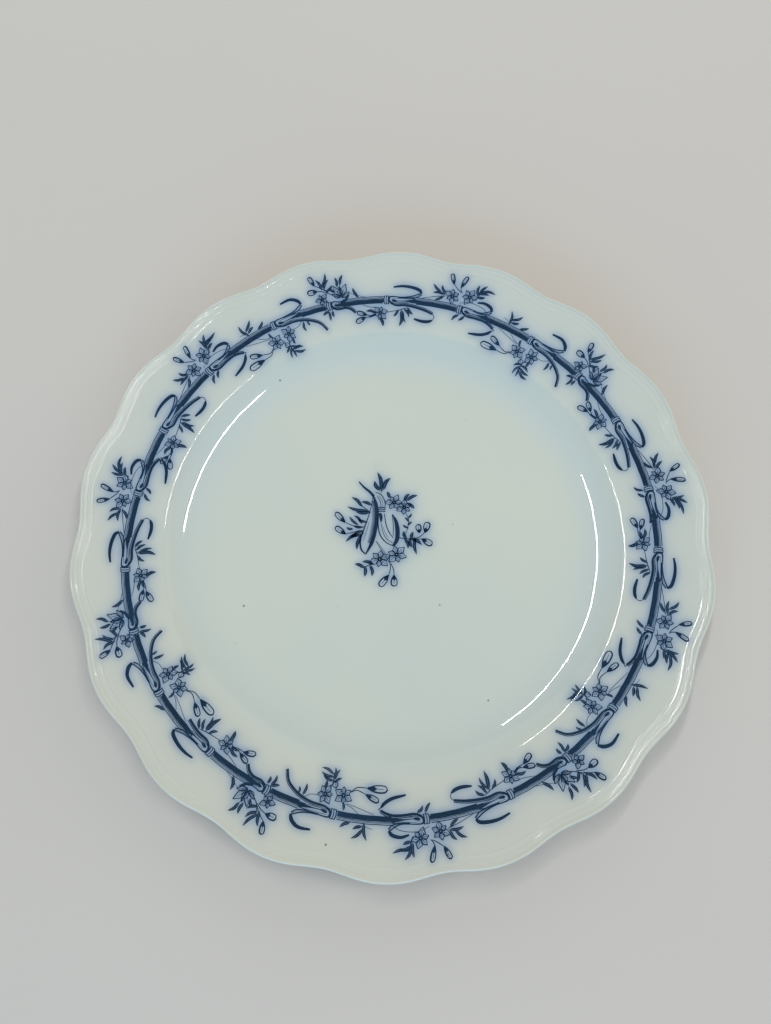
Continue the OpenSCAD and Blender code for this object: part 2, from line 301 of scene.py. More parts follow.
def line(ink, points, width=0.34, tone=0.95):
    """A stalk or an outline, a little thinner at its ends."""
    path = through(points)
    ink.ribbon(path, profile(len(path), [0.8, 1, 1, 0.7]) * width / 2, tone)


def stroke(ink, points, width, shape):
    """A brush stroke whose width follows a shape along it."""
    path = through(points)
    ink.ribbon(path, profile(len(path), shape) * width / 2, 1.0)


def leaf(ink, row, width=1.1):
    """A slender leaf on a short stalk: dark on one side of its pale vein, hatched on the other."""
    root, tip = np.array(row[:2], float), np.array(row[2:], float)
    side = np.array([-(tip - root)[1], (tip - root)[0]]) * rng.uniform(0.05, 0.14) * rng.choice([-1, 1])
    stalk = root - STALK * (tip - root)
    axis = through([stalk, root, (root + tip) / 2 + side, tip], 4)
    swell = profile(len(axis), [0.12, 0.14, 0.35, 0.8, 1, 1, 0.9, 0.6, 0.1]) * width / 2
    ink.ribbon(offset(axis, 0.02 + swell / 2), swell / 2, 1.0)
    ink.ribbon(offset(axis, -0.04 - swell / 2), swell / 2, 0.86)


def leaves(ink, rows, width=1.1):
    """Leaves, each a row of where it starts and where its tip is."""
    for row in rows:
        leaf(ink, row, width)


def petal(ink, centre, turn, radius, width):
    """A pointed petal in outline, shaded on one side, with a rib."""
    out = np.array([math.cos(turn), math.sin(turn)]) * radius
    side = np.array([-out[1], out[0]]) * width
    for hand, half in ((1, 0.14), (-1, 0.2)):
        flank = [centre + 0.48 * out + hand * side, centre + 0.78 * out + 0.5 * hand * side]
        ink.ribbon(through([centre + 0.1 * out, *flank, centre + out], 3), half, 0.98)
    ink.ribbon([centre + 0.15 * out, centre + 0.8 * out], [0.14, 0.06], 0.9)
    ink.ribbon([centre + 0.2 * out - 0.4 * side, centre + 0.6 * out - 0.55 * side], [0.12, 0.06], 0.8)


def flower(ink, centre, radius, turn, petals=6):
    """A star of petals, no two quite alike in length, with short strokes between them."""
    centre = np.asarray(centre, float)
    for k in range(petals):
        stretch = 1.04 + 0.16 * math.sin(2.4 * k + turn)
        petal(ink, centre, math.radians(turn) + 2 * math.pi * k / petals, radius * stretch, 0.31)
        gap = math.radians(turn) + 2 * math.pi * (k + 0.5) / petals
        out = radius * np.array([math.cos(gap), math.sin(gap)])
        ink.ribbon([centre + 0.12 * out, centre + 0.45 * out], [0.26, 0.08], 1.0)
    ring = np.linspace(0, 2 * math.pi, 9)
    ink.ribbon(centre + 0.11 * radius * np.stack([np.cos(ring), np.sin(ring)], 1), 0.14, 1.0)


def bud(ink, row, width):
    """A bud from (x, y) to (x, y): outlined, darker down one side, in a dark calyx."""
    root, tip = np.array(row[:2], float), np.array(row[2:], float)
    side = np.array([-(tip - root)[1], (tip - root)[0]]) / np.linalg.norm(tip - root) * width / 2
    for hand, half in ((1, 0.2), (-1, 0.3)):
        flank = [root + 0.4 * (tip - root) + hand * side, root + 0.85 * (tip - root) + hand * side]
        ink.ribbon(through([root, *flank, tip], 4), half, 0.98)
    ink.ribbon([root + 0.4 * (tip - root), root + 0.8 * (tip - root)], 0.08, 0.7)
    calyx = through([root, root + 0.3 * (tip - root), root + 0.46 * (tip - root)], 3)
    ink.ribbon(calyx, profile(len(calyx), [0.3, 0.8, 0.1]) * width / 2, 1.0)


# ---- the border's motifs: x runs clockwise from the joint, y outwards ----

CANE_HALF = 1.6
# The cane starts behind the joint's rings, and its other end is tucked this far into the next sheath
CANE_START = -1.5
CANE_TUCK = 0.4
# The dark middle of the cane reaches this much further into the pale sheath, as a wedge
WEDGE = 4.5
# Across the cane, from its shaded side: where each engraved line runs, half its width, its tone
CANE_LINES = ((-1.2, 0.27, 1.0), (-0.72, 0.26, 1.0), (-0.25, 0.25, 1.0), (0.2, 0.21, 0.97), (0.62, 0.1, 0.85),
              (1.0, 0.08, 0.75), (1.5, 0.14, 1.0))


def joint_band(ink):
    """The ringed node of the cane."""
    for x, half in ((-1.3, 0.22), (-0.35, 0.18), (0.6, 0.22)):
        ring = through([(x + 0.25, -1.75), (x - 0.1, -0.8), (x - 0.1, 0.8), (x + 0.25, 1.7)], 3)
        ink.ribbon(ring, half, 1.0)
    for y in (-1.72, 1.68):
        ink.ribbon([(-1.1, y), (0.9, y)], 0.14, 0.95)


def sheath(ink, length):
    """The pale sheath that wraps the cane beyond the joint: a long loop with an eyelet in it."""
    reach = length - 0.5
    loop = [(reach, 0.9), (length * 0.5, 1.25), (2.2, 1.5), (1.05, 1.0), (0.85, 0), (1.5, -1.0), (2.8, -1.45)]
    stroke(ink, loop, 0.5, (0.6, 0.8, 1, 1.3, 1.7, 1.7, 1.2))
    stroke(ink, [(2.0, -0.1), (3.0, -0.25), (4.6, -0.5)], 1.15, (0.3, 1, 0.9, 0.4))
    stroke(ink, [(4.0, -0.45), (length * 0.6, -0.3), (length, 0.1)], 0.5, (0.6, 0.6, 0.8, 2.0, 3.6))
    line(ink, [(2.2, 0.75), (length * 0.45, 0.75), (length * 0.8, 0.7)], 0.16, 0.6)
    line(ink, [(2.9, -1.0), (length * 0.55, -1.0), (length * 0.8, -0.8)], 0.2, 0.8)


def cane(ink, start, end):
    """A length of cane, engraved in lines that open out towards its lit side.

    Each line stops unevenly at both ends, wavers a little and is worn along its length.
    """
    for y, half, tone in CANE_LINES:
        cut = rng.uniform(0.0, 0.5, 2)
        wedge = WEDGE * max(0, 1 - abs(y + 0.2))
        span = np.linspace(start - cut[0], end + cut[1] - wedge, 14)
        worn = tone * rng.uniform(0.86, 1.0, len(span))
        waver = 0.03 * np.sin(span * 0.9 + y * 5)
        ink.ribbon(np.stack([span, y + waver], 1), half, worn)


def outer_hook(ink, way_out, way_back, width=1.35):
    """The leaf over the cane: outlined as it leaves the sheath, dark from its turn back to its tip."""
    path = through(way_out)
    spread = profile(len(path), [0.1, 0.3, 0.55, 0.85, 0.5]) * width / 2
    ink.ribbon(offset(path, spread), 0.24, 1.0)
    ink.ribbon(offset(path, -spread), 0.22, 0.98)
    ink.ribbon(offset(path, -spread * 0.1)[len(path) // 3:], 0.06, 0.6)
    stroke(ink, way_back, width, (0.6, 1, 1, 0.9, 0.75, 0.5))


def under_blade(ink, way_out, way_back, width=1.3):
    """The leaf below the cane: dark with a pale rib, turned over at its fold."""
    path = through(way_out)
    path = path[path[:, 0] < ink.blade_reach]
    spread = profile(len(path), [0.5, 0.9, 1, 1, 0.9]) * width / 2
    ink.ribbon(offset(path, -spread * 0.3), spread * 0.78, 1.0)
    ink.ribbon(offset(path, spread * 0.95), spread * 0.24, 0.95)
    if way_back and ink.blade_reach == math.inf:
        (x0, y0), (x1, y1) = way_out[-1], way_back[0]
        line(ink, [(x0, y0), ((x0 + x1) / 2 + 0.7, (y0 + y1) / 2), (x1, y1)], 0.3, 0.95)
        stroke(ink, way_back, width, (0.4, 1, 1, 1, 0.9, 0.5))


def flowers_outside(ink):
    outer_hook(ink, [(6, 0.9), (9.5, 1.0), (12.2, 1.9), (13.8, 3.2)],
               [(13.9, 3.4), (12.6, 4.9), (9.6, 5.6), (6.6, 4.9)])
    under_blade(ink, [(1.4, -1.2), (4, -1.9), (8, -1.6), (12, -1.5), (15, -2.2), (17.2, -3.2)],
                [(17.2, -4.2), (15.6, -6.0), (12.4, -7.7), (7.0, -8.8)])
    line(ink, [(12.6, 1.6), (9.4, 3.4), (3.4, 4.0), (-1, 2.6)], 0.22, 0.8)
    flower(ink, (2.6, 6.2), 3.2, 70)
    flower(ink, (-4.7, 4.8), 3.1, 35)
    leaves(ink, [(5.6, 8.0, 5.3, 12.4), (6.2, 8.9, 8.4, 13.0), (7.2, 9.9, 12.5, 10.8), (6.6, 8.9, 10.2, 9.6),
                 (6.3, 7.2, 8.9, 8.0)])
    leaves(ink, [(-10.2, 5.7, -13.5, 8.5), (-8.2, 5.6, -9.9, 8.6), (-8.6, 4.9, -13.2, 4.8),
                 (-8.8, 3.6, -12, 1.8)])
    bud(ink, (-5.1, 9.9, -6.7, 14.2), 1.3)
    bud(ink, (-2.0, 9.3, -0.3, 14.5), 1.3)
    line(ink, [(-1.4, 7.2), (-3.0, 8.2), (-5.1, 10)])
    line(ink, [(-0.8, 7.0), (-1.6, 8.0), (-2, 9.4)])
    line(ink, [(5.4, 5.4), (6, 7.2), (6.8, 9.6)], 0.34)
    line(ink, [(-7.4, 4.4), (-12, 3.2), (-17.8, 1.6)], 0.24, 0.85)
    leaves(ink, [(-0.3, -2.6, -2.6, -5.4), (2.6, -2.6, 0.5, -4.7)])


def flower_inside(ink):
    outer_hook(ink, [(5, 1.1), (9, 1.3), (12.6, 2.0), (15.2, 3.4)],
               [(15.3, 3.6), (14.0, 5.0), (10.4, 5.9), (6.6, 6.1), (2.9, 5.6)])
    under_blade(ink, [(1.4, -1.2), (4, -2.1), (8, -1.9), (12, -2.3), (17, -3.2), (21.4, -4.4)],
                [(21.8, -7.2), (19.6, -8.1), (16.6, -8.3), (12.8, -7.7)])
    leaves(ink, [(5.0, -4.6, 2.9, -7.1), (7.4, -5.4, 8.8, -9.6), (8.2, -4.0, 10.4, -7.1),
                 (9.6, -3.4, 12.1, -5.8)])
    leaf(ink, (6.6, -5.2, 5.8, -11.2), 1.6)
    line(ink, [(9, -3.2), (7, -3.8), (5.2, -4.4), (-0.8, -5.4)], 0.3)
    flower(ink, (-3.4, -5.6), 3.1, 15)
    leaf(ink, (-3.4, -8, -2.4, -11.4), 1.5)
    leaf(ink, (-5.9, -5.4, -9.9, -4.5), 1.2)
    leaf(ink, (-6.0, -6.2, -9.0, -6.8), 0.9)
    bud(ink, (-9.8, -6.2, -14.4, -4.7), 1.5)
    bud(ink, (-10.6, -7.2, -15.4, -8.9), 1.7)
    line(ink, [(-5.4, -6.2), (-8, -6.6), (-9.8, -6.2)])
    line(ink, [(-5.4, -6.4), (-8, -7.1), (-10.6, -7.2)])
    line(ink, [(-4.2, -3.4), (-8, -2.8), (-11.6, -1.6)], 0.22, 0.8)


def sprigs_outside(ink):
    under_blade(ink, [(1.0, -1.2), (3.4, -1.9), (6.8, -1.8), (9.2, -2.7), (11.2, -4.6)], None)
    stroke(ink, [(5, 0.7), (7.4, 1.4), (9.4, 3.4)], 1.3, (0.4, 1, 0.8, 0.3))
    for turn, reach in ((112, 6.2), (88, 5.2), (62, 6.6), (28, 4.6), (145, 4.2)):
        petal(ink, np.array((5.6, 2.4)), math.radians(turn), reach, 0.2)
    stroke(ink, [(5.6, 3.0), (5.9, 5.2), (5.7, 7.4)], 1.0, (0.3, 1, 0.6, 0.2))
    leaves(ink, [(4.9, 8.0, 4.6, 11.6), (6.3, 8.6, 8.0, 12.3), (3.4, 5.6, 1.6, 7.4)])
    leaves(ink, [(-1.8, 8.2, -3.2, 12.2), (-1.2, 8.9, 1.2, 14.2), (-0.6, 8.2, 1.9, 11.3),
                 (0.2, 6.4, 3.0, 8.6)])
    bud(ink, (-4.3, 9.9, -5.5, 14.1), 1.4)
    bud(ink, (-3.8, 7.3, -7.8, 7.4), 1.9)
    flower(ink, (-2.6, 3.4), 2.6, 40, 5)
    leaf(ink, (12.9, 2.1, 11.2, 6.1), 1.2)
    line(ink, [(0.6, 5.8), (-1.4, 7.8), (-4.3, 10)])
    line(ink, [(0.4, 5.4), (-1.8, 6.8), (-3.8, 7.3)])
    line(ink, [(5, 2.6), (2.4, 4.2), (0.2, 6.2), (-0.8, 9)], 0.34)
    line(ink, [(16, 1.7), (13, 2.6), (9.4, 4.2)], 0.2, 0.8)
    leaves(ink, [(-1.4, -2.2, -4.0, -3.4), (-1.0, -2.6, -1.3, -6.3), (0.6, -2.6, 0.8, -4.9)])


def large_spray_inside(ink):
    outer_hook(ink, [(5, 1.3), (9, 1.5), (12.4, 2.3), (14.6, 3.8)],
               [(14.8, 4.1), (13.4, 6.1), (10.6, 7.4), (6.3, 7.0)], 1.4)
    blade = [(1.2, -1.2), (4, -1.9), (8.7, -1.9), (12.6, -2.5), (16.4, -3.8), (20.3, -6.1), (22.8, -9.8)]
    under_blade(ink, blade, None, 1.2)
    flower(ink, (4.5, -6.0), 3.3, 10)
    flower(ink, (-2.8, -7.0), 3.3, 40)
    petal(ink, np.array((0.6, -8.6)), math.radians(300), 3.2, 0.36)
    leaves(ink, [(1.8, -11, -0.6, -12.8), (2.2, -12.2, 0.9, -15.7), (2.7, -12.8, 3.2, -16.0),
                 (3.2, -11.2, 7.4, -12.2), (3.4, -12.6, 8.6, -13.2), (3.8, -13.8, 9.0, -14.8)], 1.0)
    leaf(ink, (5.2, -8.4, 5.4, -10.9), 1.2)
    line(ink, [(3.4, -8.6), (2.6, -10.6), (3.2, -14)], 0.4)
    leaves(ink, [(-12.2, 2.0, -13.6, 7.1), (-11.7, 3.8, -8.2, 6.9), (-11.2, 2.6, -8.3, 3.8),
                 (-6.6, 1.9, -3.6, 3.9)])
    line(ink, [(-11.9, 1.8), (-13.6, 2.8), (-15.6, 3.2)], 0.16, 0.7)
    bud(ink, (-11.8, -8.5, -17.2, -6.4), 1.7)
    bud(ink, (-12.2, -10.8, -20.7, -10.7), 2.3)
    line(ink, [(-5.6, -8.6), (-8, -9.6), (-11.8, -8.5)])
    line(ink, [(-5.6, -8.8), (-8, -10.6), (-12.4, -10.8)], 0.34)
    leaf(ink, (12.8, -4.0, 12.8, -7.6), 1.1)
    leaf(ink, (14.7, -3.8, 15.4, -5.8), 0.8)
    leaf(ink, (-3.4, -4.2, -3.8, -1.9), 1.0)
    line(ink, [(12.6, -2.6), (10, -4.6), (7, -5)], 0.2, 0.8)
    line(ink, [(-4.6, -4.4), (-9, -3.6), (-15.6, -1.8)], 0.2, 0.8)
    line(ink, [(-4.0, -4.2), (-7, -3.2), (-9.6, -1.6)], 0.2, 0.8)


# The four kinds of joint, the degrees from each to the next, and how long its sheath is
KINDS = (flowers_outside, flower_inside, sprigs_outside, large_spray_inside)
JOINT_TURN = (17.4, 13.6, 13.9, 18.4)
SHEATH_L = (13.0, 13.2, 6.6, 13.2)


class Strip:
    """A strip of the border, laid from one angle towards the next strip's.

    The wander is how far it was laid outside the cane's true circle, at some angles along it. Where it
    meets another strip, the first joint's blade and the last joint's outer sprig may be cut short.
    """

    def __init__(self, name, first_angle, first_kind, joints, wander,
                 blade_cut=math.inf, sprig_cut=-math.inf, stretch=1.0):
        self.name = name
        self.first_angle = first_angle
        self.first_kind = first_kind
        self.joints = joints
        self.wander = wander
        self.blade_cut = blade_cut
        self.sprig_cut = sprig_cut
        self.stretch = stretch


STRIPS = (
    Strip("border_print_1", 10.7, 0, 10, ((10, -0.1), (57, -0.9), (115, 0.6), (168, -1.2)), blade_cut=15.0),
    Strip("border_print_2", 170.2, 0, 4, ((168, -1.3), (187, 0.6), (214, 1.7), (232, 1.5)),
          sprig_cut=-7.5, stretch=0.985),
    Strip("border_print_3", 230.2, 1, 9, ((228, 1.0), (250, 0.3), (360, -0.3)), blade_cut=15.0),
)


def on_rim(angle, wander):
    """Bends motif coordinates round the cane's circle, from a joint at this angle of a strip that wanders."""
    angles, drifts = zip(*wander)

    def place(points):
        turn = angle - np.degrees(points[:, 0] / CANE_R)
        r = CANE_R + points[:, 1] + np.interp(turn, angles, drifts)
        return np.stack([r * np.cos(np.radians(turn)), r * np.sin(np.radians(turn))], 1)
    return place


def draw_strip(strip, end_angle):
    """A strip's joints in turn, each with its rings, sheath, motif and the cane up to the next."""
    ink = Drawing()
    angle, kind = strip.first_angle, strip.first_kind
    for i in range(strip.joints):
        last = i == strip.joints - 1
        next_angle = end_angle if last else angle + JOINT_TURN[kind] * strip.stretch
        next_kind = (kind + 1) % len(KINDS)
        ink.place = on_rim(angle, strip.wander)
        ink.blade_reach = strip.blade_cut if i == 0 else math.inf
        ink.spray_reach = strip.sprig_cut if last else -math.inf
        joint_band(ink)
        sheath(ink, SHEATH_L[kind])
        KINDS[kind](ink)
        ink.spray_reach = -math.inf
        reach = math.radians(next_angle - angle) * CANE_R
        covered = max(SHEATH_L) if last else SHEATH_L[next_kind]
        cane(ink, CANE_START, covered - CANE_TUCK - reach)
        angle, kind = next_angle, next_kind
    return ink


def draw_spray():
    """The spray in the well: a crescent leaf and a folded leaf among sprigs, flowers and buds."""
    ink = Drawing()
    ink.place = lambda points: points + SPRAY_AT
    crescent_leaf(ink)
    folded_leaf(ink)
    spray_sprigs(ink)
    flower(ink, (-1.5, -13.7), 3.9, 20)
    flower(ink, (5.7, -11.7), 3.9, 45)
    flower(ink, (4.6, 11.4), 3.4, 0)
    flower(ink, (9.0, 9.2), 3.2, 25)
    for row in ((-16.5, 2.4, -20.6, 6.7), (-16.2, -2.8, -20.5, 0.3), (15.4, -2.2, 14.9, 1.5)):
        bud(ink, row, 1.9)
    for row in ((2.2, -20.7, -1.5, -25.3), (4.6, -20.7, 4.6, -25.3), (16.6, -4.9, 20.8, -7.3),
                (17.8, -2.0, 19.2, 2.5)):
        bud(ink, row, 2.2)
    line(ink, [(-8, 0.4), (-12, 0.6), (-16.5, 2.4)], 0.36)
    line(ink, [(-8.6, -1.2), (-12, -1.8), (-16.2, -2.8)], 0.36)
    line(ink, [(-3.1, -5.9), (-0.6, -10.2), (3, -15.9)], 0.3)
    line(ink, [(-2.5, -6.2), (0.2, -10.2), (3.4, -15.6)], 0.2, 0.8)
    line(ink, [(3, -15.6), (3, -18), (2.2, -20.8)], 0.36)
    line(ink, [(3.2, -15.6), (4.3, -18), (4.6, -20.8)], 0.36)
    line(ink, [(6.6, -4.4), (11, -4.9), (16.6, -4.9)], 0.42)
    line(ink, [(11, -4.9), (15, -4.2), (17.8, -2.0)], 0.36)
    line(ink, [(9.4, 7.2), (10.9, 3.4), (10.2, -1), (8.8, -3.6)], 0.3)
    return ink


def crescent_leaf(ink):
    stroke(ink, [(-10.6, 20.7), (-8.4, 18.2), (-6, 16.2), (-4.2, 14.2)], 1.1, (0.5, 0.8, 1, 1.1))
    spine = through([(-4.4, 14.6), (-3.1, 10), (-2.8, 4.7), (-3.5, -0.9), (-4.8, -6.2), (-7.4, -11.5)])
    dark = profile(len(spine), [0.35, 0.9, 1, 1, 1, 0.9, 0.3])
    ink.ribbon(spine, 0.85 * dark, 1.0)
    for inset, half, tone in ((1.1, 0.14, 0.85), (1.5, 0.1, 0.7), (1.85, 0.07, 0.55)):
        ink.ribbon(offset(spine, -inset * dark)[3:-5], half, tone)
    edge = [(-4.6, 13.8), (-5.2, 9.6), (-6.5, 4.7), (-8.2, -0.3), (-9.8, -5.4), (-9.4, -9.4), (-7.5, -11.6)]
    stroke(ink, edge, 0.5, (0.4, 0.6, 0.8, 1.1, 1.5, 1.5, 1))
    line(ink, [(-6.2, 2.4), (-7.2, -1.6), (-8.5, -5.6)], 0.2, 0.6)


def folded_leaf(ink):
    """The sheathed joint above, and the leaf that folds up on the right."""
    line(ink, [(-3.4, 15.9), (-0.9, 14.8), (0.7, 11.6), (0.7, 8.2)], 0.42)
    line(ink, [(-2.6, 14.4), (-1.3, 11.6), (-0.9, 8.8)], 0.3)
    line(ink, [(-1.9, 14.6), (-0.4, 12), (-0.1, 9)], 0.2, 0.8)
    for y in (9.0, 8.2, 7.3):
        stroke(ink, [(-2.3, y - 0.1), (-0.8, y + 0.15), (0.9, y - 0.1)], 0.45, (1, 1, 1))
    stroke(ink, [(-1.4, 6.6), (-1.0, 4.6), (-0.9, 2.4)], 1.5, (0.6, 1, 0.8, 0.2))
    line(ink, [(-2.1, 6.4), (-2.2, 1), (-1.2, -3.4), (1.2, -6.4), (4.4, -8.0)], 0.5)
    line(ink, [(0.5, 6.2), (1.2, 1.4), (2.5, -2), (4.2, -4.4)], 0.42)
    line(ink, [(-0.8, 2), (-0.2, -1.8), (1.4, -4.8), (4, -6.6)], 0.3, 0.8)
    line(ink, [(0, 0.4), (0.8, -2.2), (2.4, -4.6)], 0.2, 0.6)
    blade = [(4.0, 6.0), (5.5, 2.6), (6.1, -1.4), (5.8, -5.2), (4.4, -7.8)]
    stroke(ink, blade, 1.9, (0.15, 0.75, 1, 1, 0.9, 0.6))
    line(ink, [(3.8, 5.8), (4.3, 1), (4.2, -3.6)], 0.3)


def spray_sprigs(ink):
    leaves(ink, [(-1.8, 17.2, -3.8, 21.0), (-0.9, 17.8, -2.5, 25.0), (0.2, 17.8, 3.1, 22.4)], 1.7)
    leaves(ink, [(-9.6, 10.0, -13.6, 13.6), (-5.6, 10.4, -9.4, 11.6), (-7.4, 7.6, -15.4, 9.3),
                 (-6.4, 6.8, -11.6, 6.9)], 1.4)
    leaves(ink, [(-11.4, 1.6, -14.6, 5.0), (-9.6, 2.4, -12.6, 5.4), (-7.6, 2.6, -11.2, 4.2),
                 (-13.4, -0.6, -15.8, 0.2), (-9.4, 0.2, -12.8, 0.9), (-9.0, -1.6, -12.6, -2.8)], 1.1)
    leaves(ink, [(-9.6, -3.0, -16.0, -6.1), (-9.8, -4.0, -11.3, -9.5), (-11.6, -2.8, -13.8, -4.6)], 1.5)
    leaves(ink, [(-8.4, -17.2, -12.0, -15.8), (-7.6, -17.4, -7.9, -21.2), (-5.4, -16.8, -4.8, -21.0),
                 (-4.6, -15.8, -8.9, -14.9)], 1.4)
    leaves(ink, [(9.4, -5.2, 10.6, -9.0), (13.4, -5.2, 14.2, -11.6), (11.4, -5.2, 12.4, -8.6),
                 (12.6, -5.2, 16.4, -7.4), (9.6, -4.4, 8.8, -1.4), (12, -4.6, 12.8, -1.8)], 1.4)
    leaves(ink, [(10.6, 12.6, 14.8, 14.6), (10.8, 10.8, 13.4, 8.6), (9.2, 12.6, 11.4, 15.2),
                 (2.6, 13.8, 1.6, 16.2)], 1.4)
    leaves(ink, [(10.9, 4.6, 12.2, 6.4), (10.8, 3, 9.2, 4.6), (10.7, 1.4, 12.4, 2.6),
                 (10.4, 0, 8.4, 1.4)], 0.9)
    line(ink, [(-6.2, 7.4), (-8, 8.8), (-9.8, 10.2)])
    line(ink, [(-4.8, -15.4), (-6.6, -16.6), (-8.4, -17.2)], 0.34)
    line(ink, [(-0.8, 15.8), (-0.7, 17), (-0.8, 18.2)], 0.34)


def ink_object(name, ink):
    """Lays the ribbons on the top surface as thin closed strips."""
    points, faces, tones = [], [], []
    for left, right, tone in ink.ribbons:
        base = len(points)
        for a, b, shade in zip(left, right, tone):
            for p, lift in ((a, INK_PROUD), (b, INK_PROUD), (a, -INK_SUNK), (b, -INK_SUNK)):
                points.append((p[0], p[1], surface_z(*p) + lift))
                tones.append(shade)
        count = len(left)
        for i in range(count - 1):
            q = base + 4 * i
            faces += [(q, q + 1, q + 5, q + 4), (q + 2, q + 6, q + 7, q + 3)]
            faces += [(q, q + 4, q + 6, q + 2), (q + 1, q + 3, q + 7, q + 5)]
        end = base + 4 * (count - 1)
        faces += [(base, base + 2, base + 3, base + 1), (end, end + 1, end + 3, end + 2)]
    piece = make_mesh(name, points, faces)
    shade = piece.data.attributes.new("tone", "FLOAT", "POINT")
    shade.data.foreach_set("value", np.asarray(tones, float))
    return piece


def vertices_of(mesh):
    """A mesh's vertices in millimetres, one row each."""
    co = np.empty(len(mesh.vertices) * 3)
    mesh.vertices.foreach_get("co", co)
    return co.reshape(-1, 3) / MM


def smooth_like_glaze(piece):
    """Gives every face's corners the plate's own normal, so that highlights run on across the print."""
    mesh = piece.data
    co = vertices_of(mesh)
    r = np.hypot(co[:, 0], co[:, 1])
    inward, up = top_normal(r)
    safe = np.maximum(r, 1e-6)
    normals = np.stack([-inward * co[:, 0] / safe, -inward * co[:, 1] / safe, up], 1)
    mesh.shade_smooth()
    mesh.normals_split_custom_set_from_vertices(normals.tolist())


# ---- the blue that the glaze carried away from the print ----

# How far the blue spreads and how much of it there is: close to the lines, and as a wide faint haze
NEAR_BLUR, NEAR_SHARE = 1.1, 1.15
FAR_BLUR, FAR_SHARE = 3.6, 0.5
# How soon more ink makes the glaze no bluer
FLOW_STRENGTH = 1.9
# The map's cell, and how far the map reaches from the plate's middle
FLOW_CELL = 0.5
FLOW_HALF_WIDTH = CREST_R + 6


def flow_map(drawings):
    """Ink per cell over the plate, spread by the two blurs."""
    size = int(2 * FLOW_HALF_WIDTH / FLOW_CELL)
    grid = np.zeros((size, size))
    for ink in drawings:
        for left, right, tone in ink.ribbons:
            middle = (left + right) / 2
            spacing = np.linalg.norm(np.gradient(middle, axis=0), axis=1)
            area = np.linalg.norm(left - right, axis=1) * spacing * tone
            at = ((middle + FLOW_HALF_WIDTH) / FLOW_CELL).astype(int)
            np.add.at(grid, (at[:, 0], at[:, 1]), area / FLOW_CELL ** 2)
    wave = np.fft.fftfreq(size, FLOW_CELL) * 2 * math.pi
    rate = wave[:, None] ** 2 + wave[None, :] ** 2
    spread = np.fft.fft2(grid)
    near = np.fft.ifft2(spread * np.exp(-rate * NEAR_BLUR ** 2 / 2)).real
    far = np.fft.ifft2(spread * np.exp(-rate * FAR_BLUR ** 2 / 2)).real
    return NEAR_SHARE * near + FAR_SHARE * far


def add_flow(plate, drawings):
    """Stores on the plate's vertices how blue the glaze is there, from 0 to 1."""
    flow = flow_map(drawings)
    co = vertices_of(plate.data)
    at = (co[:, :2] + FLOW_HALF_WIDTH) / FLOW_CELL - 0.5
    low = np.floor(at).astype(int)
    part = at - low
    value = np.zeros(len(co))
    for dx in (0, 1):
        for dy in (0, 1):
            weight = np.abs(1 - dx - part[:, 0]) * np.abs(1 - dy - part[:, 1])
            value += weight * flow[low[:, 0] + dx, low[:, 1] + dy]
    # The top face only: the underside is more than a millimetre below it
    above = co[:, 2] > top_z(np.hypot(co[:, 0], co[:, 1])) - 1.0
    value = np.where(above, 1 - np.exp(-FLOW_STRENGTH * np.maximum(value, 0)), 0)
    shade = plate.data.attributes.new("flow", "FLOAT", "POINT")
    shade.data.foreach_set("value", value)


# ---- materials ----


def srgb(*levels):
    """Levels from 0 to 255, as a linear colour."""
    scaled = [v / 255 for v in levels]
    return tuple(v / 12.92 if v < 0.04045 else ((v + 0.055) / 1.055) ** 2.4 for v in scaled) + (1.0,)


CLAY_WARM = srgb(213, 217, 203)
CLAY_COOL = srgb(207, 214, 205)
CLAY_RIM = srgb(209, 211, 200)
CLAY_BARE = srgb(196, 182, 154)
# A bluer, slightly darker clay colour, painted over the cavetto as its shade and skylight tint
PAINTED_CAVETTO_SHADE = srgb(190, 208, 214)
GLAZE_BLED = srgb(92, 136, 184)
SPECK = srgb(92, 98, 104)
INK_DARK = srgb(2, 38, 62)
INK_FULL = srgb(7, 52, 82)
INK_THIN = srgb(72, 112, 158)
TABLE_GREY = srgb(206, 200, 192)
TABLE_PALE = srgb(212, 207, 200)

# Roughness: fresh glaze, how much more it has where it's worn, the wiped foot, and the table
POLISH = 0.025
WEAR = 0.025
FOOT_ROUGH = 0.75
TABLE_ROUGH = 0.7


